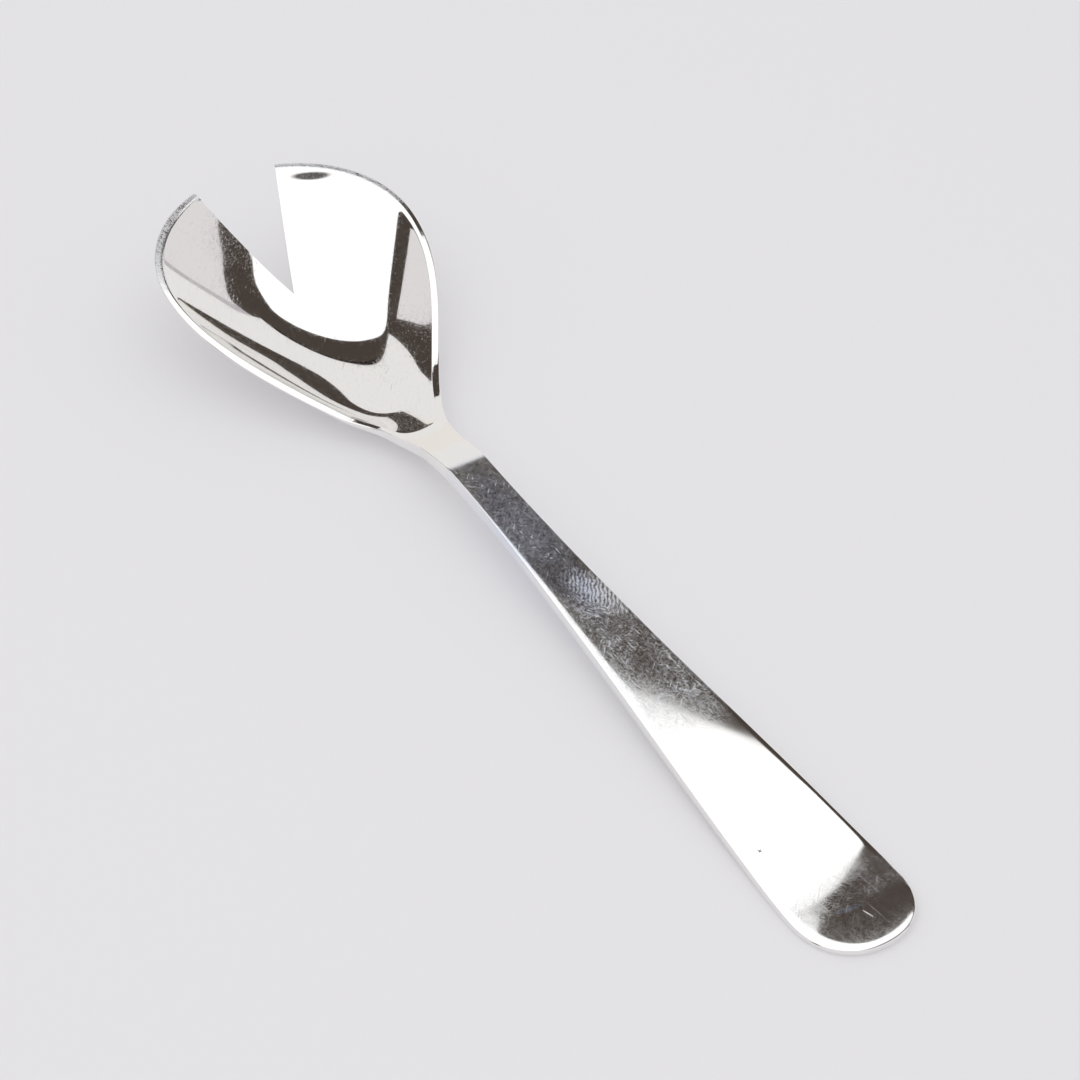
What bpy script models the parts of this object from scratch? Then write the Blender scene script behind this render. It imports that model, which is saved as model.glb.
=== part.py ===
# Oyster spoon in polished silver: a notched bowl hard-soldered to a flat tapering handle.
# Metres, +Z up. The spoon lies on the ground, mirrored about y = 0, its bowl towards +X.
# Reaches are measured along the spoon from the end of the handle.
import math

import bmesh
import bpy
from mathutils import Vector

mm = 0.001

# Space left between pieces that meet
FIT_GAP = 0.3 * mm

# Handle, seen from above
HANDLE_LENGTH = 83.0 * mm
HANDLE_HALF_WIDTH = 7.14 * mm
END_FLAT_HALF_WIDTH = 0.8 * mm
END_ROUND_LENGTH = 8.0 * mm
END_ROUND_POWER = 2.1
TAPER_END_LEAD = 9.6 * mm
TAPER_NECK_LEAD = 24.6 * mm
NECK_HALF_WIDTH = 2.58 * mm

# Handle, seen from the side, up to the crest where the neck turns down to the bowl
PAD_LENGTH = 8.0 * mm
END_THICKNESS = 0.95 * mm
CREST_HEIGHT = 6.15 * mm
RISE_PAD_LEAD = 16.0 * mm
RISE_CREST_LEAD = 2.5 * mm
SHANK_LENGTH = 17.0 * mm
SHANK_THICKNESS = 1.25 * mm
CREST_THICKNESS = 1.85 * mm
ROOT_THICKNESS = 1.5 * mm
TOP_CROWN = 0.22 * mm
EDGE_ROUND = 0.18 * mm

# Solder seam across the neck
NECK_LENGTH = 7.35 * mm
SEAM_WIDTH = 0.5 * mm

# Bowl, seen from above
STRAIGHT_NECK_LENGTH = 5.0 * mm
FLARE_LENGTH = 37.6 * mm
FLARE_NECK_LEAD = 14.0 * mm
FLARE_BOWL_LEAD = 13.6 * mm
BOWL_HALF_WIDTH = 17.26 * mm
BOWL_FRONT_LENGTH = 15.48 * mm
RIM_WIDTH = 0.9 * mm
ROOT_LAND = 2.95 * mm
ROOT_ROUND_LENGTH = 4.4 * mm
ROOT_ROUND_BREADTH = 2.3 * mm
ROOT_ROUND_LEAD = 1.8 * mm

# Bowl, seen from the side
DROP_LENGTH = 16.0 * mm
DROP_CREST_LEAD = 5.5 * mm
DROP_RIM_LEAD = 5.5 * mm
RIM_LOW_HEIGHT = 3.28 * mm
RIM_LOW_LEAD = 9.8 * mm
RIM_FRONT_HEIGHT = 12.97 * mm
RIM_FRONT_LEAD = 21.5 * mm
RIM_FRONT_DIP = 2.17 * mm
RIM_EDGE_HEIGHT = 0.25 * mm
EDGE_FADE_LENGTH = 13.85 * mm
FLOOR_SETBACK = 14.1 * mm
FLOOR_THICKNESS = 1.0 * mm
HOLLOW_POWER_FRONT = 1.85
HOLLOW_POWER_SIDE = 2.0
HOLLOW_POWER_ROOT = 3.5
BACK_POWER_ROOT = 2.6
REST_CUT = 0.25 * mm

# Notch in the front edge
NOTCH_DEPTH = 15.48 * mm
NOTCH_ANGLE = math.radians(43.6)
NOTCH_MARGIN = 6.0 * mm

# Fineness of the surfaces
END_STEPS = 12
HANDLE_STEPS = 30
NECK_STEPS = 8
CROWN_STEPS = 8
ROUND_STEPS = 3
ROOT_STEPS = 4
CAP_STEPS = 8
RIM_STEPS = 22
FRONT_STEPS = 18
HOLLOW_RINGS = 14
BACK_RINGS = 12

# Places along the spoon that follow from those sizes
SHANK_REACH = HANDLE_LENGTH - SHANK_LENGTH
SEAM_START_REACH = HANDLE_LENGTH + NECK_LENGTH
SEAM_STOP_REACH = SEAM_START_REACH + SEAM_WIDTH
HANDLE_STOP_REACH = SEAM_START_REACH - FIT_GAP
BOWL_ROOT_REACH = SEAM_STOP_REACH + FIT_GAP
FLARE_REACH = HANDLE_LENGTH + STRAIGHT_NECK_LENGTH
BOWL_WIDEST_REACH = FLARE_REACH + FLARE_LENGTH
BOWL_FRONT_REACH = BOWL_WIDEST_REACH + BOWL_FRONT_LENGTH
HOLLOW_ROOT_REACH = BOWL_ROOT_REACH + ROOT_LAND
HOLLOW_JOIN_REACH = HOLLOW_ROOT_REACH + ROOT_ROUND_LENGTH
RIM_LOW_REACH = HANDLE_LENGTH + DROP_LENGTH
FLOOR_REACH = BOWL_WIDEST_REACH - FLOOR_SETBACK
NOTCH_REACH = BOWL_FRONT_REACH - NOTCH_DEPTH
NOTCH_SLOPE = math.tan(NOTCH_ANGLE / 2)

# Curves as four steering points: plan half widths and side-view heights against reach
TAPER = (
    (END_ROUND_LENGTH, HANDLE_HALF_WIDTH),
    (END_ROUND_LENGTH + TAPER_END_LEAD, HANDLE_HALF_WIDTH),
    (HANDLE_LENGTH - TAPER_NECK_LEAD, NECK_HALF_WIDTH),
    (HANDLE_LENGTH, NECK_HALF_WIDTH),
)
FLARE = (
    (FLARE_REACH, NECK_HALF_WIDTH),
    (FLARE_REACH + FLARE_NECK_LEAD, NECK_HALF_WIDTH),
    (BOWL_WIDEST_REACH - FLARE_BOWL_LEAD, BOWL_HALF_WIDTH),
    (BOWL_WIDEST_REACH, BOWL_HALF_WIDTH),
)
RISE = (
    (PAD_LENGTH, END_THICKNESS),
    (PAD_LENGTH + RISE_PAD_LEAD, END_THICKNESS),
    (HANDLE_LENGTH - RISE_CREST_LEAD, CREST_HEIGHT),
    (HANDLE_LENGTH, CREST_HEIGHT),
)
DROP = (
    (HANDLE_LENGTH, CREST_HEIGHT),
    (HANDLE_LENGTH + DROP_CREST_LEAD, CREST_HEIGHT),
    (RIM_LOW_REACH - DROP_RIM_LEAD, RIM_LOW_HEIGHT),
    (RIM_LOW_REACH, RIM_LOW_HEIGHT),
)
RIM = (
    (RIM_LOW_REACH, RIM_LOW_HEIGHT),
    (RIM_LOW_REACH + RIM_LOW_LEAD, RIM_LOW_HEIGHT),
    (BOWL_FRONT_REACH - RIM_FRONT_LEAD, RIM_FRONT_HEIGHT - RIM_FRONT_DIP),
    (BOWL_FRONT_REACH, RIM_FRONT_HEIGHT),
)


def horn_reach():
    # Where the notch's sides meet the rim's front arc
    offset = NOTCH_REACH - BOWL_WIDEST_REACH
    steep = (NOTCH_SLOPE / BOWL_HALF_WIDTH) ** 2
    a = 1.0 / BOWL_FRONT_LENGTH ** 2 + steep
    b = -2.0 * offset * steep
    c = steep * offset ** 2 - 1.0
    return BOWL_WIDEST_REACH + (math.sqrt(b * b - 4.0 * a * c) - b) / (2.0 * a)


# The overall length is centred on the origin
CENTRE_REACH = horn_reach() / 2


def curve_point(steer, t):
    s = 1.0 - t
    shares = (s * s * s, 3.0 * s * s * t, 3.0 * s * t * t, t * t * t)
    along = sum(share * point[0] for share, point in zip(shares, steer))
    across = sum(share * point[1] for share, point in zip(shares, steer))
    return along, across


def curve_at(steer, reach):
    low, high = 0.0, 1.0
    for _ in range(50):
        middle = (low + high) / 2
        if curve_point(steer, middle)[0] < reach:
            low = middle
        else:
            high = middle
    return curve_point(steer, low)[1]


def ease(start, stop, share):
    t = min(max(share, 0.0), 1.0)
    return start + (stop - start) * t * t * (3.0 - 2.0 * t)


def half_width(reach):
    if reach < END_ROUND_LENGTH:
        bite = (1.0 - reach / END_ROUND_LENGTH) ** END_ROUND_POWER
        growth = (1.0 - bite) ** (1.0 / END_ROUND_POWER)
        return END_FLAT_HALF_WIDTH + (HANDLE_HALF_WIDTH - END_FLAT_HALF_WIDTH) * growth
    if reach < HANDLE_LENGTH:
        return curve_at(TAPER, reach)
    if reach < FLARE_REACH:
        return NECK_HALF_WIDTH
    return curve_at(FLARE, reach)


def top_height(reach):
    if reach < PAD_LENGTH:
        return END_THICKNESS
    if reach < HANDLE_LENGTH:
        return curve_at(RISE, reach)
    if reach < RIM_LOW_REACH:
        return curve_at(DROP, reach)
    return curve_at(RIM, min(reach, BOWL_FRONT_REACH))


def stem_thickness(reach):
    if reach < PAD_LENGTH:
        return END_THICKNESS
    if reach < SHANK_REACH:
        share = (reach - PAD_LENGTH) / (SHANK_REACH - PAD_LENGTH)
        return END_THICKNESS + (SHANK_THICKNESS - END_THICKNESS) * share
    if reach < HANDLE_LENGTH:
        share = (reach - SHANK_REACH) / (HANDLE_LENGTH - SHANK_REACH)
        return ease(SHANK_THICKNESS, CREST_THICKNESS, share)
    share = (reach - HANDLE_LENGTH) / (BOWL_ROOT_REACH - HANDLE_LENGTH)
    return ease(CREST_THICKNESS, ROOT_THICKNESS, share)


def quarter(centre_y, centre_z, radius, first_angle):
    points = []
    for k in range(ROUND_STEPS + 1):
        angle = first_angle + math.pi / 2 * k / ROUND_STEPS
        points.append((centre_y + radius * math.cos(angle), centre_z + radius * math.sin(angle)))
    return points


def stem_section(reach):
    # One closed loop across the stem: crowned top, rounded edges, flat underside
    side = half_width(reach) - EDGE_ROUND
    top = top_height(reach)
    bottom = top - stem_thickness(reach)
    fade = ease(1.0, 0.0, (reach - SHANK_REACH) / (HANDLE_STOP_REACH - SHANK_REACH))
    crown = TOP_CROWN * fade * side / (HANDLE_HALF_WIDTH - EDGE_ROUND)
    loop = []
    for k in range(1, CROWN_STEPS):
        y = side * (1.0 - 2.0 * k / CROWN_STEPS)
        loop.append((y, top + crown * (1.0 - (y / side) ** 2)))
    loop += quarter(-side, top - EDGE_ROUND, EDGE_ROUND, math.pi / 2)
    loop += quarter(-side, bottom + EDGE_ROUND, EDGE_ROUND, math.pi)
    loop += quarter(side, bottom + EDGE_ROUND, EDGE_ROUND, math.pi * 1.5)
    loop += quarter(side, top - EDGE_ROUND, EDGE_ROUND, 0.0)
    return [Vector((reach - CENTRE_REACH, y, z)) for y, z in loop]


def steps_between(start, stop, count):
    return [start + (stop - start) * k / count for k in range(count + 1)]


def skin(bm, near, far):
    # Joins two closed loops of the same count with a band of faces
    count = len(near)
    for k in range(count):
        after = (k + 1) % count
        bm.faces.new((near[k], near[after], far[after], far[k]))


def loft(loops):
    # Skins a row of closed loops and closes both ends
    bm = bmesh.new()
    rows = [[bm.verts.new(point) for point in loop] for loop in loops]
    for near, far in zip(rows, rows[1:]):
        skin(bm, near, far)
    bm.faces.new(rows[0])
    bm.faces.new(rows[-1])
    bmesh.ops.recalc_face_normals(bm, faces=bm.faces)
    return bm


def make_handle():
    reaches = []
    for k in range(END_STEPS):
        reaches.append(END_ROUND_LENGTH * (1.0 - math.cos(math.pi / 2 * k / END_STEPS)))
    reaches += steps_between(END_ROUND_LENGTH, HANDLE_LENGTH, HANDLE_STEPS)
    reaches += steps_between(HANDLE_LENGTH, HANDLE_STOP_REACH, NECK_STEPS)[1:]
    return loft([stem_section(reach) for reach in reaches])


def make_seam():
    return loft([stem_section(SEAM_START_REACH), stem_section(SEAM_STOP_REACH)])


def rim_half():
    # One side of the rim's outer edge as (reach, half width), from the neck's middle to the front
    root_width = half_width(BOWL_ROOT_REACH)
    points = [(BOWL_ROOT_REACH, root_width * k / ROOT_STEPS) for k in range(ROOT_STEPS)]
    for reach in steps_between(BOWL_ROOT_REACH, HOLLOW_JOIN_REACH, CAP_STEPS):
        points.append((reach, half_width(reach)))
    for reach in steps_between(HOLLOW_JOIN_REACH, BOWL_WIDEST_REACH, RIM_STEPS)[1:]:
        points.append((reach, half_width(reach)))
    for k in range(1, FRONT_STEPS + 1):
        angle = math.pi / 2 * k / FRONT_STEPS
        reach = BOWL_WIDEST_REACH + BOWL_FRONT_LENGTH * math.sin(angle)
        points.append((reach, BOWL_HALF_WIDTH * math.cos(angle) if k < FRONT_STEPS else 0.0))
    return points


def hollow_half(outer):
    # The hollow's edge inside the rim, rounded off where the neck begins
    inner = []
    for k, (reach, across) in enumerate(outer):
        behind = outer[max(k - 1, 0)]
        ahead = outer[k + 1] if k + 1 < len(outer) else (reach, -RIM_WIDTH)
        run, rise = ahead[0] - behind[0], ahead[1] - behind[1]
        size = math.hypot(run, rise)
        inner.append((reach + RIM_WIDTH * rise / size, across - RIM_WIDTH * run / size))
    inner[-1] = (BOWL_FRONT_REACH - RIM_WIDTH, 0.0)
    join = ROOT_STEPS + CAP_STEPS
    run = inner[join + 1][0] - inner[join][0]
    rise = inner[join + 1][1] - inner[join][1]
    lead = ROOT_ROUND_LEAD / math.hypot(run, rise)
    cap = (
        (HOLLOW_ROOT_REACH, 0.0),
        (HOLLOW_ROOT_REACH, ROOT_ROUND_BREADTH),
        (inner[join][0] - run * lead, inner[join][1] - rise * lead),
        inner[join],
    )
    return [curve_point(cap, k / join) for k in range(join)] + inner[join:]


def both_sides(half):
    return half + [(reach, -across) for reach, across in half[-2:0:-1]]


def bowl_power(reach, across, root_power):
    # The wall's steepness: flat and abrupt towards the neck, even towards the horns
    ahead = (reach - FLOOR_REACH) / math.hypot(reach - FLOOR_REACH, across)
    if ahead < 0.0:
        return HOLLOW_POWER_SIDE + (root_power - HOLLOW_POWER_SIDE) * ahead ** 4
    return HOLLOW_POWER_SIDE + (HOLLOW_POWER_FRONT - HOLLOW_POWER_SIDE) * ahead ** 2


def drawn_in(reach, across, share, height):
    x = FLOOR_REACH + (reach - FLOOR_REACH) * share
    return Vector((x - CENTRE_REACH, across * share, height))


def make_bowl():
    outer_half = rim_half()
    outer = both_sides(outer_half)
    inner = both_sides(hollow_half(outer_half))
    bm = bmesh.new()

    rim_top = [bm.verts.new((r - CENTRE_REACH, a, top_height(r))) for r, a in outer]

    # Hollow, ring by ring from the rim to the middle of the floor
    previous = rim_top
    for ring in range(HOLLOW_RINGS):
        share = 1.0 - ring / HOLLOW_RINGS
        loop = []
        for reach, across in inner:
            depth = top_height(reach) - FLOOR_THICKNESS
            power = bowl_power(reach, across, HOLLOW_POWER_ROOT)
            loop.append(bm.verts.new(drawn_in(reach, across, share, FLOOR_THICKNESS + depth * share ** power)))
        skin(bm, previous, loop)
        previous = loop
    middle = bm.verts.new(drawn_in(FLOOR_REACH, 0.0, 0.0, FLOOR_THICKNESS))
    for k, corner in enumerate(previous):
        bm.faces.new((corner, previous[(k + 1) % len(previous)], middle))

    # Back, from the rim's edge down to the flat it rests on
    previous = rim_top
    for ring in range(BACK_RINGS + 1):
        loop = []
        for reach, across in outer:
            fade = (reach - BOWL_ROOT_REACH) / EDGE_FADE_LENGTH
            edge = top_height(reach) - ease(ROOT_THICKNESS, RIM_EDGE_HEIGHT, fade)
            power = bowl_power(reach, across, BACK_POWER_ROOT)
            flat = (REST_CUT / (edge + REST_CUT)) ** (1.0 / power)
            share = 1.0 - (1.0 - flat) * ring / BACK_RINGS
            height = (edge + REST_CUT) * share ** power - REST_CUT
            loop.append(bm.verts.new(drawn_in(reach, across, share, 0.0 if ring == BACK_RINGS else height)))
        skin(bm, previous, loop)
        previous = loop
    bm.faces.new(previous)
    bmesh.ops.recalc_face_normals(bm, faces=bm.faces)
    return bm


def make_notch():
    # The wedge of metal sawn out between the horns
    length = BOWL_FRONT_REACH + NOTCH_MARGIN - NOTCH_REACH
    start = NOTCH_REACH - CENTRE_REACH
    bm = bmesh.new()
    corners = [(start, 0.0), (start + length, -length * NOTCH_SLOPE), (start + length, length * NOTCH_SLOPE)]
    low = [bm.verts.new((x, y, -NOTCH_MARGIN)) for x, y in corners]
    wedge = bmesh.ops.extrude_face_region(bm, geom=[bm.faces.new(low)])
    raised = [item for item in wedge["geom"] if isinstance(item, bmesh.types.BMVert)]
    height = RIM_FRONT_HEIGHT + 2 * NOTCH_MARGIN
    bmesh.ops.translate(bm, verts=raised, vec=(0.0, 0.0, height))
    bmesh.ops.recalc_face_normals(bm, faces=bm.faces)
    return bm


def metal(name, colour, roughness):
    material = bpy.data.materials.new(name)
    material.use_nodes = True
    shader = material.node_tree.nodes["Principled BSDF"]
    shader.inputs["Base Color"].default_value = (*colour, 1.0)
    shader.inputs["Metallic"].default_value = 1.0
    shader.inputs["Roughness"].default_value = roughness
    return material


def place(name, bm, origin, material, parent):
    # The mesh is kept relative to its own origin, which the object's location restores
    bmesh.ops.translate(bm, verts=bm.verts, vec=-origin)
    mesh = bpy.data.meshes.new(name)
    bm.to_mesh(mesh)
    bm.free()
    if material is not None:
        mesh.materials.append(material)
    piece = bpy.data.objects.new(name, mesh)
    piece.location = origin
    piece.parent = parent
    bpy.context.scene.collection.objects.link(piece)
    return piece


def main():
    for leftover in list(bpy.data.objects):
        bpy.data.objects.remove(leftover, do_unlink=True)

    spoon = bpy.data.objects.new("oyster_spoon", None)
    bpy.context.scene.collection.objects.link(spoon)

    polished = metal("polished_silver", (0.93, 0.92, 0.90), 0.12)
    stem_silver = metal("stem_silver", (0.92, 0.91, 0.89), 0.16)
    solder = metal("silver_solder", (0.88, 0.86, 0.80), 0.25)

    floor_middle = Vector((FLOOR_REACH - CENTRE_REACH, 0.0, 0.0))
    bowl = place("bowl", make_bowl(), floor_middle, polished, spoon)
    place("handle", make_handle(), Vector((-CENTRE_REACH, 0.0, 0.0)), stem_silver, spoon)
    place("solder_seam", make_seam(), Vector((SEAM_START_REACH - CENTRE_REACH, 0.0, 0.0)), solder, spoon)

    notch = place("notch_cutter", make_notch(), Vector((NOTCH_REACH - CENTRE_REACH, 0.0, 0.0)), None, spoon)
    notch.hide_render = True
    notch.display_type = "WIRE"
    cut = bowl.modifiers.new("notch", "BOOLEAN")
    cut.operation = "DIFFERENCE"
    cut.solver = "EXACT"
    cut.object = notch


main()
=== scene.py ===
import bisect
import math

import bmesh
import bpy
from mathutils import Matrix, Vector


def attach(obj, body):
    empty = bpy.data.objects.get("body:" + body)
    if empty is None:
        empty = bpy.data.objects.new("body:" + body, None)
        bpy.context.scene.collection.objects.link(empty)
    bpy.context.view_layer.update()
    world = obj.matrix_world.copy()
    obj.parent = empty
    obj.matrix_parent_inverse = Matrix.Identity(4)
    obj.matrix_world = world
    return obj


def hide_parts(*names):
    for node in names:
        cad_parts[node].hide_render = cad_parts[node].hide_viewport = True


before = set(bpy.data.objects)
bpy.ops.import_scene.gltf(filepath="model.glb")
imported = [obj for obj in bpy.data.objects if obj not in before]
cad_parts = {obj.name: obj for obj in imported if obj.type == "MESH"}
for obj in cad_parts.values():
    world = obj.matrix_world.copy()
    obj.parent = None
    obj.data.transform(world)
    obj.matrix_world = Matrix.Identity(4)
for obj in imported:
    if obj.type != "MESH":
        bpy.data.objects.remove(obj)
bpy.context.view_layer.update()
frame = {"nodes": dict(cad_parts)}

scene = bpy.context.scene
mm = 0.001
weld = 2e-6         # metres: points nearer than this become one
hair = 1e-7         # metres: as good as nothing
tiny = 1e-9
halvings = 40       # steps of a search that halves its range
print("frame loaded:", ", ".join(frame["nodes"]))


# the spoon lies along X; lengths are counted from the handle's end, in millimetres
spoonShape = {
    "originReach": 70.084,          # the frame's origin, counted from the handle's end
    "handleLength": 84.2,           # to the crest of the neck
    "handleHalf": 7.14,
    "endRound": 8.0,
    "endPower": 2.2,
    "taperStop": 83.0,
    "taperLeads": (9.6, 24.6),
    "neckHalf": 2.58,
    "padLength": 8.35,
    "endThick": 0.95,
    "crestHeight": 6.15,
    "riseLeads": (12.5, 2.0),
    "shankLength": 18.2,
    "shankThick": 1.25,
    "crestThick": 1.85,
    "rootThick": 1.5,
    "rootRun": 7.0,                 # the neck thins over this length past the crest
    "seamAt": (90.35, 90.85),
    "flareAt": (88.0, 125.6),
    "flareLeads": (14.0, 13.6),
    "bowlHalf": 17.26,
    "frontLength": 15.48,
    "rimLow": (99.0, 3.28),
    "dropLeads": (5.0, 5.5),
    "rimLowLead": 9.8,
    "rimFront": 12.97,
    "rimFrontLead": (21.5, 2.17),
    "waist": 0.2,                   # the neck's left side flares later than its right
    "waistAt": (87.6, 93.4, 96.6, 102.3),
}


def curvePoint(a, b, c, d, t):
    s = 1 - t
    return [s ** 3 * a[k] + 3 * s * s * t * b[k] + 3 * s * t * t * c[k] + t ** 3 * d[k] for k in (0, 1)]


def searchShare(short):
    # halves the range from 0 to 1 towards the place where short stops being true
    low, high = 0.0, 1.0
    for _ in range(halvings):
        mid = (low + high) / 2
        if short(mid):
            low = mid
        else:
            high = mid
    return low


def curveAt(points, reach):
    share = searchShare(lambda t: curvePoint(*points, t)[0] < reach)
    return curvePoint(*points, share)[1]


def ease(a, b, t):
    t = min(max(t, 0.0), 1.0)
    return a + (b - a) * t * t * (3 - 2 * t)


def leadCurve(start, stop, leads):  # level at both ends
    return (start, (start[0] + leads[0], start[1]), (stop[0] - leads[1], stop[1]), stop)


def stemHalf(reach, s=spoonShape):
    if reach < s["endRound"]:
        bite = (1 - max(reach, 0.0) / s["endRound"]) ** s["endPower"]
        return s["handleHalf"] * (1 - bite) ** (1 / s["endPower"])
    if reach < s["taperStop"]:
        wide, narrow = (s["endRound"], s["handleHalf"]), (s["taperStop"], s["neckHalf"])
        return curveAt(leadCurve(wide, narrow, s["taperLeads"]), reach)
    if reach < s["flareAt"][0]:
        return s["neckHalf"]
    narrow, wide = (s["flareAt"][0], s["neckHalf"]), (s["flareAt"][1], s["bowlHalf"])
    return curveAt(leadCurve(narrow, wide, s["flareLeads"]), reach)


def topHeight(reach, s=spoonShape):
    crest = (s["handleLength"], s["crestHeight"])
    if reach < s["padLength"]:
        return s["endThick"]
    if reach < crest[0]:
        return curveAt(leadCurve((s["padLength"], s["endThick"]), crest, s["riseLeads"]), reach)
    if reach < s["rimLow"][0]:
        return curveAt(leadCurve(crest, s["rimLow"], s["dropLeads"]), reach)
    front = s["flareAt"][1] + s["frontLength"]
    rim = (
        s["rimLow"],
        (s["rimLow"][0] + s["rimLowLead"], s["rimLow"][1]),
        (front - s["rimFrontLead"][0], s["rimFront"] - s["rimFrontLead"][1]),
        (front, s["rimFront"]),
    )
    return curveAt(rim, min(reach, front))


def stemThick(reach, s=spoonShape):
    shank = s["handleLength"] - s["shankLength"]
    if reach < s["padLength"]:
        return s["endThick"]
    if reach < shank:
        share = (reach - s["padLength"]) / (shank - s["padLength"])
        return s["endThick"] + (s["shankThick"] - s["endThick"]) * share
    if reach < s["handleLength"]:
        return ease(s["shankThick"], s["crestThick"], (reach - shank) / s["shankLength"])
    return ease(s["crestThick"], s["rootThick"], (reach - s["handleLength"]) / s["rootRun"])


# each piece is a grid bent into one half of the piece, then mirrored
def halfGrid(along, rows):
    bm = bmesh.new()
    bmesh.ops.create_grid(bm, x_segments=along, y_segments=rows, size=0.5)
    return bm


def gridPlace(vert, along, rows):
    return round((vert.co.x + 0.5) * along), round((vert.co.y + 0.5) * rows)


def closePiece(bm, name, sharpAngle=35):
    bmesh.ops.remove_doubles(bm, verts=bm.verts, dist=weld)
    bmesh.ops.dissolve_degenerate(bm, edges=bm.edges, dist=hair)
    bmesh.ops.recalc_face_normals(bm, faces=bm.faces)
    for face in bm.faces:
        face.smooth = True
    for edge in bm.edges:
        edge.smooth = len(edge.link_faces) != 2 or edge.calc_face_angle(0) <= math.radians(sharpAngle)
    mesh = bpy.data.meshes.new(name)
    bm.to_mesh(mesh)
    openEdges = sum(1 for edge in bm.edges if len(edge.link_faces) != 2)
    bm.free()
    piece = bpy.data.objects.new(name, mesh)
    scene.collection.objects.link(piece)
    print(name, "faces", len(mesh.polygons), "open edges", openEdges)
    return piece


def mirrorHalf(bm, s=spoonShape):
    for vert in bm.verts:
        if abs(vert.co.y) < hair:
            vert.co.y = 0.0
    bmesh.ops.mirror(bm, geom=bm.verts[:] + bm.edges[:] + bm.faces[:], axis="Y", merge_dist=weld / 2)
    start, full, wane, stop = s["waistAt"]
    for vert in bm.verts:
        if vert.co.y > 0:
            reach = vert.co.x / mm + s["originReach"]
            draw = ease(0, 1, (reach - start) / (full - start)) * ease(1, 0, (reach - wane) / (stop - wane))
            vert.co.y *= 1 - s["waist"] * draw


def fillHoles(bm):
    bmesh.ops.holes_fill(bm, edges=[edge for edge in bm.edges if len(edge.link_faces) == 1], sides=0)


handleShape = {
    "alongEnd": 48,
    "stemStep": 0.4316,
    "crownRows": 34,
    "crownCrowd": 1.5,                  # the rows crowd towards the edge
    "crown": 0.04,
    "crownFade": (66.0, 24.0),          # where the crown starts to flatten, and over what length
    "edgeRound": 0.16,
    "pillowEnd": (0.11, 0.85),          # how far polishing has worn the edge down, and over what width
    "pillowLeft": (0.165, 1.5),
    "pillowRight": (0.047, 0.85),
    "pillowWane": (42.0, 44.0, 0.25),   # both shrink along the shank
    "pillowStop": (86.0, 10.0),
    "pillowPower": 3,
    "pillowTurn": (1, 3),               # how suddenly the end's wear takes over, left and right
    "dip": (0.026, 0.5, 0.02, 19.6, 0.05, 0.64),        # the hammered top dips behind the end
    "swell": (0.008, 19.0, 0.012, 55.0, 0.11, -1.5),    # and swells half way to the bowl
    "swellTurn": (2.0, 0.4, 0.8),       # this far right of the middle the swell's line lies less askew
    "roundRows": 5,
    "sideRows": 2,
    "undersideRows": 10,
    "focus": 7.6,
}


def edgeWear(x, y, s=handleShape):
    # how far a point of the top lies in from the outline, and how squarely that edge faces the end
    end, half, power = spoonShape["endRound"], spoonShape["handleHalf"], spoonShape["endPower"]
    inside, facing = stemHalf(x) - abs(y), 0.0
    if x < end:
        ahead, across = ((end - x) / end) ** power, (abs(y) / half) ** power
        inside = (1 - (ahead + across) ** (1 / power)) * half
        facing = (ahead / max(ahead + across, tiny)) ** s["pillowTurn"][0 if y > 0 else 1]
    start, run, least = s["pillowWane"]
    wane = ease(1, least, (x - start) / run)
    side = [wane * size for size in s["pillowLeft" if y > 0 else "pillowRight"]]
    depth, width = (a + (b - a) * facing for a, b in zip(side, s["pillowEnd"]))
    start, run = s["pillowStop"]
    near = max(0.0, 1 - max(inside, 0.0) / width)
    return depth * ease(1, 0, (x - start) / run) * near ** s["pillowPower"]


def softLess(a, b, blur):
    return (a + b - math.hypot(a - b, blur)) / 2


def topWave(x, y, wave):
    # a low ridge: up one slope and down the other, on a line that runs askew across the handle
    up, start, down, stop, blur, skew = wave
    place = x + skew * y
    ridge = softLess(up * (place - start), down * (stop - place), blur)
    return -softLess(-ridge, 0.0, blur / 2)


def handlePoint(kind, part, reach, half, way, s=handleShape):
    r = s["edgeRound"]
    bend = part * math.pi / 2
    inset = {
        "low": r * (1 - math.sin(bend)),
        "side": 0.0,
        "high": r * (1 - math.cos(bend)),
    }.get(kind, r)
    x, y = reach + way[0] * inset, max(half + way[1] * inset, 0.0)
    if kind in ("top", "under"):
        target = max(x, s["focus"])
        x, y = x + (target - x) * part, y * (1 - part)
    top, thick = topHeight(x), stemThick(x)
    fade = ease(1, 0, (reach - s["crownFade"][0]) / s["crownFade"][1])
    crown = s["crown"] * fade * stemHalf(max(x, s["focus"])) / spoonShape["handleHalf"]
    z = {
        "under": top - thick,
        "low": top - thick + r * (1 - math.cos(bend)),
        "side": top - thick + r + (thick - 2 * r) * part,
        "high": top - r + r * math.sin(bend),
        "top": top + crown * (1 - (1 - part) ** 2),
    }[kind]
    return x, y, z


def hammerTop(bm, s=handleShape):
    # the top's waves and worn edges, which fade out down the sides
    for vert in bm.verts:
        x, y, z = vert.co.x / mm + spoonShape["originReach"], vert.co.y / mm, vert.co.z / mm
        under = topHeight(x) - stemThick(x) + s["edgeRound"]
        if z > under:
            lift = min((z - under) / (stemThick(x) - 2 * s["edgeRound"]), 1.0)
            far, askew, blur = s["swellTurn"]
            across = -softLess(-y, far - askew * (y + far), blur)
            wave = topWave(x, across, s["swell"]) - topWave(x, y, s["dip"])
            vert.co.z += (wave - edgeWear(x, y)) * lift * mm


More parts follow.
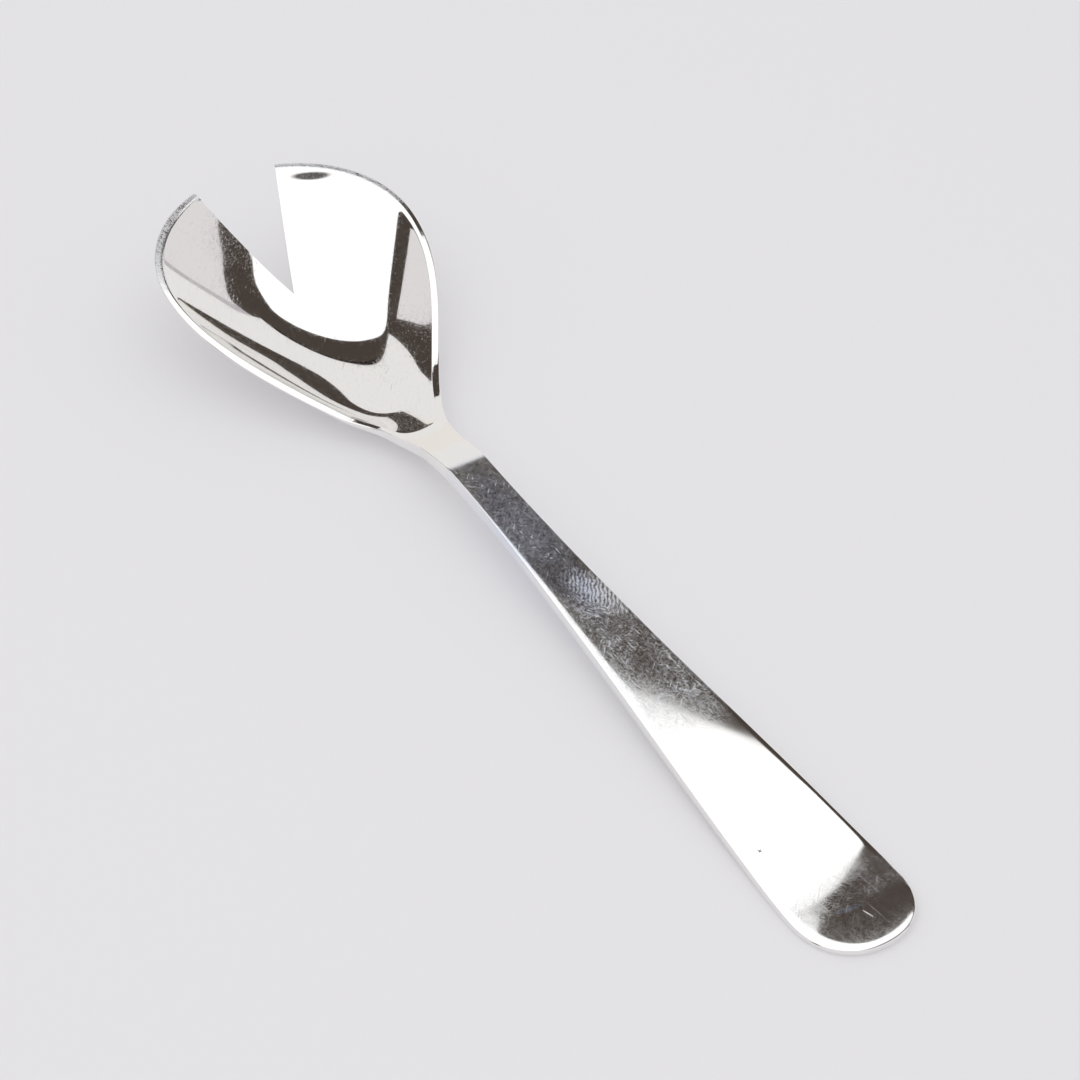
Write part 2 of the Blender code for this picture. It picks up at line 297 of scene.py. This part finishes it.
def makeHandle(start, stop, name, s=handleShape):
    # rows run from the underside's middle, round the edge, to the middle of the crowned top
    rows = [("under", 1 - k / s["undersideRows"]) for k in range(s["undersideRows"])]
    rows += [("low", k / s["roundRows"]) for k in range(s["roundRows"])]
    rows += [("side", k / s["sideRows"]) for k in range(s["sideRows"])]
    rows += [("high", k / s["roundRows"]) for k in range(s["roundRows"])]
    rows += [("top", (k / s["crownRows"]) ** s["crownCrowd"]) for k in range(s["crownRows"] + 1)]
    stations = []
    if start == 0:
        for k in range(s["alongEnd"]):
            stations.append(spoonShape["endRound"] * (1 - math.cos(math.pi / 2 * k / s["alongEnd"])))
        start = spoonShape["endRound"]
    count = max(2, round((stop - start) / s["stemStep"]))
    stations += [start + (stop - start) * k / count for k in range(count + 1)]
    outline = [(reach, stemHalf(reach)) for reach in stations]
    bm = halfGrid(len(stations) - 1, len(rows) - 1)
    for vert in bm.verts:
        i, j = gridPlace(vert, len(stations) - 1, len(rows) - 1)
        reach, half = outline[i]
        ahead, behind = outline[min(i + 1, len(outline) - 1)], outline[max(i - 1, 0)]
        run, rise = ahead[0] - behind[0], ahead[1] - behind[1]
        if i == 0 and reach == 0:
            run, rise = 0.0, 1.0
        size = math.hypot(run, rise)
        way = (rise / size, -run / size) if reach < spoonShape["endRound"] else (0.0, -1.0)
        x, y, z = handlePoint(*rows[j], reach, half, way)
        vert.co = Vector((x - spoonShape["originReach"], y, z)) * mm
    mirrorHalf(bm)
    hammerTop(bm)
    bmesh.ops.remove_doubles(bm, verts=bm.verts, dist=weld)
    fillHoles(bm)
    return closePiece(bm, name)


bowlShape = {
    "rootReach": 86.0,          # the neck is drawn past the seam and cut there
    "rootSteps": 14,
    "capSteps": 40,
    "rimSteps": 90,
    "frontSteps": 70,
    "tipStep": 0.1,
    "rimWidth": 0.9,
    "hollowRoot": 94.75,
    "hollowJoin": 95.9,
    "hollowBreadth": 2.2,
    "hollowLead": 0.5,
    "floorReach": 111.5,
    "floorKnots": (             # reach, height and slope along the hollow's floor
        (94.75, 3.79, -0.29),
        (100.8, 2.06, -0.265),
        (107.0, 1.34, -0.05),
        (113.0, 1.15, 0.01),
        (119.0, 1.77, 0.214),
        (125.0, 3.823, 0.468),
        (131.0, 6.907, 0.583),
        (137.0, 10.461, 0.592),
        (140.18, 12.048, 0.438),
    ),
    "leastHalf": 0.05,
    "rootFill": (-0.54, 20.7),  # fuller sections near the neck, and how far that reaches
    "hornFill": (0.102, 18.0, 1.0),             # leaner ones near the horns, from this far behind their tips
    "notchDrop": (0.242, 8.0, 122.0, 132.0),    # how far and how wide the hollow sinks beside the notch
    "notchPower": 1.5,
    "backFill": (-0.45, 4),     # a fuller back towards the neck, and how suddenly
    "restCut": 0.25,
    "rimEdge": 0.25,
    "edgeFade": (0.3, 13.85),   # the neck thins to the rim from just past the seam
    "edgeRound": 0.12,
    "rimTilt": 0.06,            # the rim's flat leans outward
    "innerRound": (0.14, 0.36),     # the rim's inner edge is softened, most at the horns
    "innerRun": (112.0, 18.0),
    "backRows": 36,
    "hollowRows": 60,
    "rimRows": 6,
    "lipRows": 8,
    "roundRows": 4,
    "wornHorns": (124.0, 131.0),
    "notchReach": 125.6,
    "notchSlope": 0.4,
}


def floorLine(reach, s=bowlShape):
    knots = s["floorKnots"]
    k = min(max(bisect.bisect_right(knots, reach, key=lambda knot: knot[0]) - 1, 0), len(knots) - 2)
    (x0, z0, slope0), (x1, z1, slope1) = knots[k], knots[k + 1]
    run = x1 - x0
    t = (reach - x0) / run
    f = 1 - t
    return z0 * f * f * (1 + 2 * t) + z1 * t * t * (3 - 2 * t) + run * t * f * (slope0 * f - slope1 * t)


def bowlEdges(s=bowlShape, shape=spoonShape):
    # from the neck's middle to the front: the rim's outer edge, the way in from it and the hollow's edge
    widest = shape["flareAt"][1]
    front = widest + shape["frontLength"]
    rootHalf = stemHalf(s["rootReach"])
    outer = [(s["rootReach"], rootHalf * k / s["rootSteps"]) for k in range(s["rootSteps"])]
    for k in range(s["capSteps"] + 1):
        reach = s["rootReach"] + (s["hollowJoin"] - s["rootReach"]) * k / s["capSteps"]
        outer.append((reach, stemHalf(reach)))
    for k in range(1, s["rimSteps"] + 1):
        reach = s["hollowJoin"] + (widest - s["hollowJoin"]) * k / s["rimSteps"]
        outer.append((reach, stemHalf(reach)))
    for k in range(1, s["frontSteps"] + 1):
        turn = math.pi / 2 * k / s["frontSteps"]
        outer.append((widest + shape["frontLength"] * math.sin(turn), shape["bowlHalf"] * math.cos(turn)))
    outer[-1] = (front, 0.0)
    inward = []
    corner = s["rootSteps"]
    for k, (reach, across) in enumerate(outer):
        ahead = outer[k + 1] if k + 1 < len(outer) else (reach, -s["tipStep"])
        behind = outer[k - 1] if k > corner else outer[corner]
        run, rise = ahead[0] - behind[0], ahead[1] - behind[1]
        if k <= corner:
            run, rise = 1.0, 0.0
        size = math.hypot(run, rise)
        inward.append((rise / size, -run / size))
    inner = [(p[0] + n[0] * s["rimWidth"], p[1] + n[1] * s["rimWidth"]) for p, n in zip(outer, inward)]
    inner[-1] = (front - s["rimWidth"], 0.0)
    join = s["rootSteps"] + s["capSteps"]
    run, rise = inner[join + 1][0] - inner[join][0], inner[join + 1][1] - inner[join][1]
    lead = s["hollowLead"] / math.hypot(run, rise)
    cap = (
        (s["hollowRoot"], 0.0),
        (s["hollowRoot"], s["hollowBreadth"]),
        (inner[join][0] - run * lead, inner[join][1] - rise * lead),
        inner[join],
    )
    inner[:join] = [curvePoint(*cap, k / join) for k in range(join)]
    return outer, inward, inner


def hollowHeight(x, y, inner, s=bowlShape):
    k = min(max(bisect.bisect_left(inner, x, key=lambda point: point[0]), 1), len(inner) - 1)
    before, after = inner[k - 1], inner[k]
    run = after[0] - before[0]
    part = min(max((x - before[0]) / run, 0.0), 1.0) if run > tiny else 1.0
    half = max(before[1] + (after[1] - before[1]) * part, s["leastHalf"])
    front = spoonShape["flareAt"][1] + spoonShape["frontLength"]
    most, run = s["rootFill"]
    fill = most * max(0.0, 1 - (x - s["hollowRoot"]) / run) ** 2
    most, run, behind = s["hornFill"]
    fill += most * max(0.0, 1 - (front - behind - x) / run) ** 2
    depth, width, start, full = s["notchDrop"]
    drop = depth * max(0.0, 1 - y / width) ** s["notchPower"] * ease(0, 1, (x - start) / (full - start))
    low = floorLine(x)
    share = min(y / half, 1.0) ** 2
    return low + (topHeight(x) - low) * share * (1 + fill * (1 - share)) - drop


def backPoint(kind, part, reach, across, s=bowlShape, shape=spoonShape):
    # the back is one curve, from the edge under the rim to the resting flat
    neckEnd, middle = shape["seamAt"][1], s["floorReach"]
    start, run = s["edgeFade"]
    past = (reach - neckEnd - start) / run
    thick = stemThick(reach) if reach < neckEnd else ease(shape["rootThick"], s["rimEdge"], past)
    edge = topHeight(reach) - thick
    if kind == "side":
        return reach, across, edge
    most, power = s["backFill"]
    ahead = (reach - middle) / math.hypot(reach - middle, across)
    fill = most * ahead ** power if ahead < 0 else 0.0

    def climb(share):
        return (edge + s["restCut"]) * share * share * (1 + fill * (1 - share * share))

    flat = searchShare(lambda share: climb(share) < s["restCut"])
    share = 0.0 if kind == "flat" else 1 - (1 - flat) * part
    return middle + (reach - middle) * share, across * share, max(climb(share) - s["restCut"], 0.0)


def edgePoint(part, point, way, s=bowlShape):
    # round the rim's outer edge
    r = s["edgeRound"]
    bend = part * math.pi / 2
    inset = r * (1 - math.cos(bend))
    x, y = point[0] + way[0] * inset, max(point[1] + way[1] * inset, 0.0)
    return x, y, topHeight(x) - r + r * math.sin(bend) - s["rimTilt"] * (s["rimWidth"] - inset)


def insidePoint(kind, part, point, brink, inner, s=bowlShape):
    # across the rim's flat, round its softened lip and down the hollow
    (reach, across), (bx, by) = point, brink
    middle = s["floorReach"]
    soft = ease(*s["innerRound"], (bx - s["innerRun"][0]) / s["innerRun"][1])
    wide = math.hypot(bx - reach, by - across) or tiny
    outX, outY = (reach - bx) / wide, (across - by) / wide
    if kind == "rim":
        away = (wide - s["edgeRound"]) * (1 - part) + soft * part
        x, y = bx + outX * away, by + outY * away
        return x, y, topHeight(x) - s["rimTilt"] * min(away, s["rimWidth"])
    share = 1 - soft / math.hypot(bx - middle, by)
    if kind == "hollow":
        share *= 1 - part
    x, y = middle + (bx - middle) * share, by * share
    z = hollowHeight(x, y, inner)
    if kind == "hollow":
        return x, y, z
    a = (bx + outX * soft, by + outY * soft)
    a += (topHeight(a[0]) - s["rimTilt"] * soft,)
    b, c = (bx, by, topHeight(bx)), (x, y, z)
    f = 1 - part
    return [f * f * a[n] + 2 * f * part * b[n] + part * part * c[n] for n in range(3)]


def cutAway(bm, reach, facing):
    # everything on the facing side of an upright plane goes
    bmesh.ops.bisect_plane(
        bm, geom=bm.verts[:] + bm.edges[:] + bm.faces[:], dist=hair, plane_no=facing, clear_outer=True,
        plane_co=Vector((reach - spoonShape["originReach"], 0, 0)) * mm)


def makeBowl(name, s=bowlShape):
    outer, inward, inner = bowlEdges()
    # rows run from the resting flat under the bowl, up the back, over the rim and down the hollow
    rows = [("flat", 0.0)] + [("back", 1 - k / s["backRows"]) for k in range(s["backRows"])]
    rows += [("side", 0.0)]
    rows += [("edge", k / s["roundRows"]) for k in range(s["roundRows"])]
    rows += [("rim", k / s["rimRows"]) for k in range(s["rimRows"])]
    rows += [("lip", k / s["lipRows"]) for k in range(s["lipRows"])]
    rows += [("hollow", k / s["hollowRows"]) for k in range(s["hollowRows"] + 1)]
    bm = halfGrid(len(outer) - 1, len(rows) - 1)
    wear = bm.verts.layers.float.new("wear")
    for vert in bm.verts:
        i, j = gridPlace(vert, len(outer) - 1, len(rows) - 1)
        kind, part = rows[j]
        if kind in ("flat", "back", "side"):
            x, y, z = backPoint(kind, part, *outer[i])
        elif kind == "edge":
            x, y, z = edgePoint(part, outer[i], inward[i])
        else:
            x, y, z = insidePoint(kind, part, outer[i], inner[i], inner)
        vert.co = Vector((x - spoonShape["originReach"], max(y, 0.0), z)) * mm
        if kind in ("edge", "rim", "lip"):
            start, full = s["wornHorns"]
            worn = ease(0, 1, (outer[i][0] - start) / (full - start))
            vert[wear] = worn * (1 - part if kind == "lip" else 1)
    notch = math.atan(s["notchSlope"])
    cutAway(bm, s["notchReach"], (math.sin(notch), -math.cos(notch), 0))     # what lies between the horns
    bmesh.ops.remove_doubles(bm, verts=bm.verts, dist=weld)
    mirrorHalf(bm)
    cutAway(bm, spoonShape["seamAt"][1], (-1, 0, 0))
    fillHoles(bm)
    return closePiece(bm, name)


def toLinear(code):
    values = [int(code[k:k + 2], 16) / 255 for k in (0, 2, 4)]
    return [v / 12.92 if v <= 0.04045 else ((v + 0.055) / 1.055) ** 2.4 for v in values] + [1.0]


def addNode(tree, kind, settings=None, links=None):
    node = tree.nodes.new(kind)
    for key, value in (settings or {}).items():
        if isinstance(key, str) and hasattr(node, key):
            setattr(node, key, value)
        else:
            node.inputs[key].default_value = value
    for key, source in (links or {}).items():       # a node stands for its first output
        socket = source.outputs[0] if isinstance(source, bpy.types.Node) else source
        tree.links.new(socket, node.inputs[key])
    return node


# how the finish is drawn on every piece
silverDraw = {
    "scratchSoft": 0.14,            # how far over its threshold a scratch is at its full weight
    "scratchDetail": 2.0,
    "cloudDetail": 3.0,
    "cloudRange": (0.3, 0.7),
    "wavePeriod": math.pi / 10,     # a wave texture of scale 1 repeats at this
    "rippleBreak": (5.0, 2.0, 1.6),     # how far the ripple strays, and how finely
    "rippleFade": 0.1,              # the share of a patch's half size inside which it is full
    "patchFade": 0.55,
}

# sterling silver, hammered and buffed bright: a mirror, hazed by the fine crossing scratches of long use;
# the real ones are a few thousandths of a millimetre wide and are drawn far coarser here so that they show
silverLooks = {
    "handle": {
        "colour": "f9f8f6",
        "scratchSheen": "e9eefa",      # painted cold sheen: the cold light that fine scratches throw, drawn into the colour
        "roughness": (0.045, 0.40),
        "streaks": (                    # turn in degrees, length and width in mm, curl, threshold, weight
            (3, 6.0, 0.055, 0.0, 0.55, 0.65),
            (33, 1.6, 0.06, 0.2, 0.55, 0.65),
            (-48, 1.4, 0.06, 0.2, 0.55, 0.65),
            (82, 0.8, 0.06, 0.2, 0.55, 0.65),
            (5, 9.0, 0.14, 0.0, 0.61, 1.0),
            (-42, 3.0, 0.13, 0.1, 0.62, 1.0),
            (58, 1.0, 0.13, 0.5, 0.63, 1.0),
        ),
        "hazeSize": 5.0,
        "hazeRange": (0.55, 1.0),
        "zones": (                      # where the haze starts, is full, wanes and stops, and its strength
            (-1.0, 0.0, 7.0, 9.0, 0.3),
            (5.0, 8.5, 9.5, 13.0, 0.6),
            (33.0, 41.0, 56.0, 66.0, 1.15),
            (56.0, 66.0, 84.2, 85.2, 0.75),
        ),
        "veil": ((61.0, 70.0, 84.2, 85.2, 0.2),),       # worn evenly matt, with some painted cold sheen, in the same terms
        "depth": 0.0008,
        # centre, half sizes and turn of the patch; turn, spacing, height and mattness of its waves
        "ripple": ((-11.0, -2.0, 4.2), (6.6, 3.2, 3.0), 20, 57.7, 0.46, 0.006, 0.6),
        "worn": None,
        "patches": (                    # centre and half sizes in mm, turn, haze, tint and its share; the blue tints and the bowl's dark lens are painted reflections
            ((-11.6, -1.4, 4.2), (5.4, 4.6, 4.0), 30, 0.06, None, 0.0),
            # a painted reflection: the blue-grey cast the shank shows, drawn as a tint
            ((-1.0, 0.0, 5.0), (17.0, 3.6, 9.0), 0, 0.0, "c8d4f2", 0.65),
            # a painted reflection: a small bluish streak near the end, drawn as a tint
            ((-63.95, 0.83, 0.95), (2.0, 0.5, 1.0), 78, 0.12, "c6cfee", 0.7),
            ((-65.63, -0.62, 0.95), (0.9, 0.07, 0.5), 16.4, 0.9, None, 0.0),
            # a small dark cross, of two crossing ovals
            ((-52.4, 4.1, 1.3), (0.34, 0.10, 1.0), 35, 0.3, "3a3632", 0.9),
            ((-52.4, 4.1, 1.3), (0.10, 0.30, 1.0), 35, 0.3, "3a3632", 0.9),
        ),
    },
    "seam": {
        "colour": "f9f8f6",
        "scratchSheen": "e2e4ec",
        "roughness": (0.06, 0.3),
        "streaks": ((4, 3.2, 0.13, 0.0, 0.66, 0.6),),
        "hazeSize": 7.0,
        "hazeRange": (0.2, 0.6),
        "zones": ((86.0, 87.0, 94.0, 95.0, 0.4),),
        "veil": (),
        "depth": 0.0004,
        "ripple": None,
        "worn": None,
        "patches": (),
    },
    "bowl": {
        "colour": "f9f8f6",
        "scratchSheen": "eceef2",
        "roughness": (0.03, 0.42),
        "streaks": (
            (-34, 6.0, 0.09, 0.1, 0.63, 0.9),
            (24, 3.0, 0.09, 0.2, 0.65, 0.9),
            (71, 1.2, 0.10, 0.6, 0.66, 0.9),
            (-40, 7.0, 0.14, 0.0, 0.63, 1.0),
            (12, 0.5, 0.17, 1.2, 0.66, 1.0),
        ),
        "hazeSize": 9.0,
        "hazeRange": (0.35, 1.0),
        "zones": ((86.0, 99.0, 150.0, 151.0, 1.0),),
        "veil": (),
        "depth": 0.001,
        "ripple": None,
        "worn": ((30, 0.8, 0.16, 1.5, 0.37, 1.0), 1.15),    # the horns' rim has scratches of its own
        "patches": (
            # a painted reflection: the dark lens on the right horn, drawn as a dark patch
            ((66.55, -9.1, 11.95), (3.0, 0.55, 1.2), 62.5, 0.25, "3a3532", 0.95),
        ),
    },
}


def scratches(tree, place, streak, s=silverDraw):
    # lines that run one way: a stretched noise, of which only the peaks show
    turn, length, width, curl, start, weight = streak
    lay = addNode(tree, "ShaderNodeMapping", {
        "vector_type": "TEXTURE", "Rotation": (0, 0, math.radians(turn)),
        "Scale": (length * mm, width * mm, width * mm)}, {"Vector": place})
    grain = addNode(tree, "ShaderNodeTexNoise", {
        "Scale": 1.0, "Detail": s["scratchDetail"], "Distortion": curl}, {"Vector": lay})
    return addNode(tree, "ShaderNodeMapRange", {
        "From Min": start, "From Max": start + s["scratchSoft"], "To Max": weight}, {"Value": grain})


def zoneSum(tree, along, zones):
    # soft-ended bands across the spoon
    bands = []
    for *ends, level in zones:
        start, full, wane, stop = ((reach - spoonShape["originReach"]) * mm for reach in ends)
        rise = addNode(tree, "ShaderNodeMapRange", {
            "interpolation_type": "SMOOTHSTEP", "From Min": start, "From Max": full}, {"Value": along})
        fall = addNode(tree, "ShaderNodeMapRange", {
            "interpolation_type": "SMOOTHSTEP", "From Min": wane, "From Max": stop,
            "To Min": level, "To Max": 0.0}, {"Value": along})
        bands.append(addNode(tree, "ShaderNodeMath", {"operation": "MULTIPLY"}, {0: rise, 1: fall}))
    total = bands[0]
    for band in bands[1:]:
        total = addNode(tree, "ShaderNodeMath", {"operation": "ADD"}, {0: total, 1: band})
    return total


def spotAt(tree, place, centre, halves, turn, full):
    # a soft-edged oval
    lay = addNode(tree, "ShaderNodeMapping", {
        "vector_type": "TEXTURE", "Location": [c * mm for c in centre],
        "Rotation": (0, 0, math.radians(turn)), "Scale": [h * mm for h in halves]}, {"Vector": place})
    away = addNode(tree, "ShaderNodeVectorMath", {"operation": "LENGTH"}, {0: lay}).outputs["Value"]
    return addNode(tree, "ShaderNodeMapRange", {
        "interpolation_type": "SMOOTHSTEP", "From Min": 1.0, "From Max": full}, {"Value": away})


def wornSilver(name, look, s=silverDraw):
    material = bpy.data.materials.new(name)
    material.use_nodes = True
    tree = material.node_tree
    shader = tree.nodes["Principled BSDF"]
    shader.inputs["Metallic"].default_value = 1.0
    place = addNode(tree, "ShaderNodeTexCoord").outputs["Object"]
    along = addNode(tree, "ShaderNodeSeparateXYZ", links={"Vector": place})
    marks, *others = [scratches(tree, place, streak) for streak in look["streaks"]]
    for line in others:
        marks = addNode(tree, "ShaderNodeMath", {"operation": "MAXIMUM"}, {0: marks, 1: line})
    cloud = addNode(tree, "ShaderNodeTexNoise", {
        "Scale": 1 / (look["hazeSize"] * mm), "Detail": s["cloudDetail"]}, {"Vector": place})
    cloud = addNode(tree, "ShaderNodeMapRange", {
        "From Min": s["cloudRange"][0], "From Max": s["cloudRange"][1],
        "To Min": look["hazeRange"][0], "To Max": look["hazeRange"][1]}, {"Value": cloud})
    worn = zoneSum(tree, along, look["zones"])
    haze = addNode(tree, "ShaderNodeMath", {"operation": "MULTIPLY"}, {0: worn, 1: cloud})
    shown = addNode(tree, "ShaderNodeMath", {"operation": "MULTIPLY"}, {0: marks, 1: haze})
    if look["veil"]:
        veil = zoneSum(tree, along, look["veil"])
        shown = addNode(tree, "ShaderNodeMath", {"operation": "ADD"}, {0: shown, 1: veil})
    if look["worn"]:
        streak, share = look["worn"]
        rim = addNode(tree, "ShaderNodeAttribute", {"attribute_name": "wear"}).outputs["Fac"]
        rim = addNode(tree, "ShaderNodeMath", {"operation": "MULTIPLY", 1: share}, {0: rim})
        shown = addNode(tree, "ShaderNodeMath", {"operation": "MULTIPLY_ADD"},
                        {0: rim, 1: scratches(tree, place, streak), 2: shown})
    dents = addNode(tree, "ShaderNodeBump", {"Distance": look["depth"] * mm}, {"Height": shown})
    if look["ripple"]:
        # the planishing hammer's chatter, as a patch of fine waves with rubbed crests
        centre, halves, lie, turn, spacing, height, rub = look["ripple"]
        stray, detail, fine = s["rippleBreak"]
        lay = addNode(tree, "ShaderNodeMapping", {
            "vector_type": "TEXTURE", "Rotation": (0, 0, math.radians(turn)),
            "Scale": [spacing * mm / s["wavePeriod"]] * 3}, {"Vector": place})
        wave = addNode(tree, "ShaderNodeTexWave", {
            "Scale": 1.0, "Distortion": stray, "Detail": detail, "Detail Scale": fine}, {"Vector": lay})
        patch = spotAt(tree, place, centre, halves, lie, s["rippleFade"])
        crest = addNode(tree, "ShaderNodeMath", {"operation": "MULTIPLY"},
                        {0: wave.outputs["Fac"], 1: patch})
        dents = addNode(tree, "ShaderNodeBump", {"Distance": height * mm},
                        {"Height": crest, "Normal": dents})
        shown = addNode(tree, "ShaderNodeMath", {"operation": "MULTIPLY_ADD", 1: rub}, {0: crest, 2: shown})
    # sockets 6 and 7 of the mix are its two colours, and output 2 is the mixed one
    # where scratches and haze show, the colour turns towards a painted cold sheen
    pale, coldSheen = toLinear(look["colour"]), toLinear(look["scratchSheen"])
    colour = addNode(tree, "ShaderNodeMix", {"data_type": "RGBA", 6: pale, 7: coldSheen}, {0: shown}).outputs[2]
    # patches add haze and lay their tint over the colour: painted reflections, and a small dark cross
    for centre, halves, turn, extra, reflectionOrMark, share in look["patches"]:
        spot = spotAt(tree, place, centre, halves, turn, s["patchFade"])
        if extra:
            shown = addNode(tree, "ShaderNodeMath", {"operation": "MULTIPLY_ADD", 1: extra},
                            {0: spot, 2: shown})
        if share:
            keep = addNode(tree, "ShaderNodeMath", {"operation": "SUBTRACT", 0: 1.0}, {1: marks})
            cover = addNode(tree, "ShaderNodeMath", {"operation": "MULTIPLY"}, {0: spot, 1: keep})
            cover = addNode(tree, "ShaderNodeMath", {"operation": "MULTIPLY", 1: share}, {0: cover})
            colour = addNode(tree, "ShaderNodeMix", {"data_type": "RGBA", 7: toLinear(reflectionOrMark)},
                             {0: cover, 6: colour}).outputs[2]
    rough = addNode(tree, "ShaderNodeMapRange", {
        "To Min": look["roughness"][0], "To Max": look["roughness"][1]}, {"Value": shown})
    tree.links.new(colour, shader.inputs["Base Color"])
    tree.links.new(rough.outputs[0], shader.inputs["Roughness"])
    tree.links.new(dents.outputs["Normal"], shader.inputs["Normal"])
    return material


handle = makeHandle(0, spoonShape["seamAt"][0], "silverHandle")
seam = makeHandle(spoonShape["seamAt"][0], spoonShape["seamAt"][1], "solderLine")
bowl = makeBowl("silverBowl")
for piece, node, slot, finish, look in (
        (handle, "handle", "handle_silver", "buffed sterling silver", "handle"),
        (seam, "solder_seam", "silver_solder", "buffed silver solder", "seam"),
        (bowl, "bowl", "bowl_silver", "mirror sterling silver", "bowl")):
    piece.data.materials.append(wornSilver(finish, silverLooks[look]))
    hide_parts(node)
    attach(piece, "root")
print("spoon made")


# the stage: pale paper under the spoon, a big soft light overhead, pale cards round it in a dark room
def glow(name, colour, strength):
    material = bpy.data.materials.new(name)
    material.use_nodes = True
    tree = material.node_tree
    tree.nodes.clear()
    light = addNode(tree, "ShaderNodeEmission", {"Color": toLinear(colour), "Strength": strength})
    addNode(tree, "ShaderNodeOutputMaterial", links={"Surface": light.outputs["Emission"]})
    return material


def stagePiece(name, bm, material, seen=False):
    mesh = bpy.data.meshes.new(name)
    bm.to_mesh(mesh)
    bm.free()
    piece = bpy.data.objects.new(name, mesh)
    scene.collection.objects.link(piece)
    mesh.materials.append(material)
    piece.visible_camera = seen
    return piece


def between(values, share):
    place = share * (len(values) - 1)
    k = min(int(place), len(values) - 2)
    return values[k] + (values[k + 1] - values[k]) * (place - k)


def standingCard(name, turns, feet, tops, distance, material, steps=16):
    bm = halfGrid(steps, 1)
    for vert in bm.verts:
        u, v = vert.co.x + 0.5, vert.co.y + 0.5
        turn = math.radians(between(turns, u))
        foot, top = between(feet, u), between(tops, u)
        lift = math.tan(math.radians(foot + (top - foot) * v))
        vert.co = Vector((math.cos(turn), math.sin(turn), lift)) * distance
    return stagePiece(name, bm, material)


studio = {
    "middle": (0.045, 0.0, 0.006),      # over the bowl
    "softHeight": 0.322,
    "softTurn": -35.0,
    "softReach": (0.623, 1.3),          # far and near edges, as shares of the height
    "softSides": (0.78, 0.608),         # left and right edges
    "softRound": 0.14,
    "softSegments": 6,
    "softColour": "ffffff",
    "softStrength": 1.15,
    "cards": {                          # azimuths, feet and tops in degrees, distance, colour, strength
        "farCard": ((-70.5, 16), (0, 0), (40.2, 43.2), 1.2, "f5f3f3", 0.9),
        "footCard": ((-55, 8), (0, 0), (15, 15), 1.15, "f5f1ec", 0.9),
        "gapCard": ((-74, -69), (0, 0), (34.9, 39.0), 1.3, "c4bec2", 0.9),
        "railCard": ((-66, -6), (40.6, 42.6), (41.7, 43.7), 1.15, "1c1614", 1.0),
        "leftCard": ((23.8, 90), (0, 0), (40.5, 43.3), 1.2, "f0ecee", 0.86),
        "rightCard": (
            (-113, -97, -88.5, -80, -72.6), (0, 0), (63.1, 50.5, 43.7, 39.4, 34), 1.2, "f0ecee", 0.86),
        "backCard": ((100, 240), (0, 0), (40, 40), 1.3, "f0ecee", 0.86),
    },
    "roomColour": "473f3a",
    "roomRadius": 4.0,
    "floorHalf": 3.0,
    "paperRough": 0.9,
    "paperColour": "c0bfc1",
    "paperGlow": "888789",              # light that comes through the paper keeps the shadow soft
    "fillStrength": 0.85,
}


def makeStudio(s=studio):
    turn = math.radians(s["softTurn"])
    ahead = Vector((math.cos(turn), math.sin(turn), 0))
    left = Vector((-math.sin(turn), math.cos(turn), 0))
    bm = halfGrid(1, 1)
    for vert in bm.verts:
        far = s["softReach"][0] if vert.co.x > 0 else -s["softReach"][1]
        side = s["softSides"][0] if vert.co.y > 0 else -s["softSides"][1]
        vert.co = Vector(s["middle"]) + (ahead * far + left * side + Vector((0, 0, 1))) * s["softHeight"]
    bmesh.ops.bevel(bm, geom=bm.verts[:], offset=s["softRound"] * s["softHeight"], affect="VERTICES",
                    segments=s["softSegments"], profile=0.5, material=-1)
    stagePiece("softbox", bm, glow("softbox cloth", s["softColour"], s["softStrength"]))
    for name, (turns, feet, tops, distance, colour, strength) in s["cards"].items():
        card = standingCard(name, turns, feet, tops, distance, glow(name + " paper", colour, strength))
        card.visible_diffuse = False
        card.visible_shadow = False
    bm = bmesh.new()
    bmesh.ops.create_icosphere(bm, subdivisions=4, radius=s["roomRadius"])
    room = stagePiece("room", bm, glow("dark room", s["roomColour"], 1.0))
    room.visible_diffuse = False
    room.visible_shadow = False
    paper = bpy.data.materials.new("seamless paper")
    paper.use_nodes = True
    shader = paper.node_tree.nodes["Principled BSDF"]
    shader.inputs["Base Color"].default_value = toLinear(s["paperColour"])
    shader.inputs["Roughness"].default_value = s["paperRough"]
    shader.inputs["Emission Color"].default_value = toLinear(s["paperGlow"])
    shader.inputs["Emission Strength"].default_value = 1.0
    bm = halfGrid(1, 1)
    bmesh.ops.scale(bm, vec=Vector((2, 2, 1)) * s["floorHalf"], verts=bm.verts)
    stagePiece("floor", bm, paper, seen=True)
    world = bpy.data.worlds.new("studio")
    scene.world = world
    world.use_nodes = True
    fill = world.node_tree.nodes["Background"]
    fill.inputs["Color"].default_value = (1, 1, 1, 1)
    fill.inputs["Strength"].default_value = s["fillStrength"]
    world.cycles_visibility.glossy = False      # the metal sees the room and its cards instead


makeStudio()
print("stage made")

photoView = {
    "azimuth": 237.657,
    "elevation": 41.633,
    "distance": 0.45,
    "aim": (0.003864, -0.003646, 0.0),
    "focalPixels": 3830.0,
    "imageWidth": 1080,
    "sensorWidth": 36.0,
    "clipStart": 0.01,
}


def makeCamera(v=photoView):
    turn, lift = math.radians(v["azimuth"]), math.radians(v["elevation"])
    back = Vector((math.sin(turn) * math.cos(lift), -math.cos(turn) * math.cos(lift), math.sin(lift)))
    right = Vector((math.cos(turn), math.sin(turn), 0))
    up = back.cross(right)
    data = bpy.data.cameras.new("camera")
    data.sensor_width = v["sensorWidth"]
    data.lens = v["focalPixels"] / v["imageWidth"] * v["sensorWidth"]
    data.clip_start = v["clipStart"]
    camera = bpy.data.objects.new("camera", data)
    place = Matrix((right, up, back)).transposed().to_4x4()
    place.translation = Vector(v["aim"]) + back * v["distance"]
    camera.matrix_world = place
    scene.collection.objects.link(camera)
    scene.camera = camera


makeCamera()
print("camera set")
scene.view_settings.view_transform = "Standard"
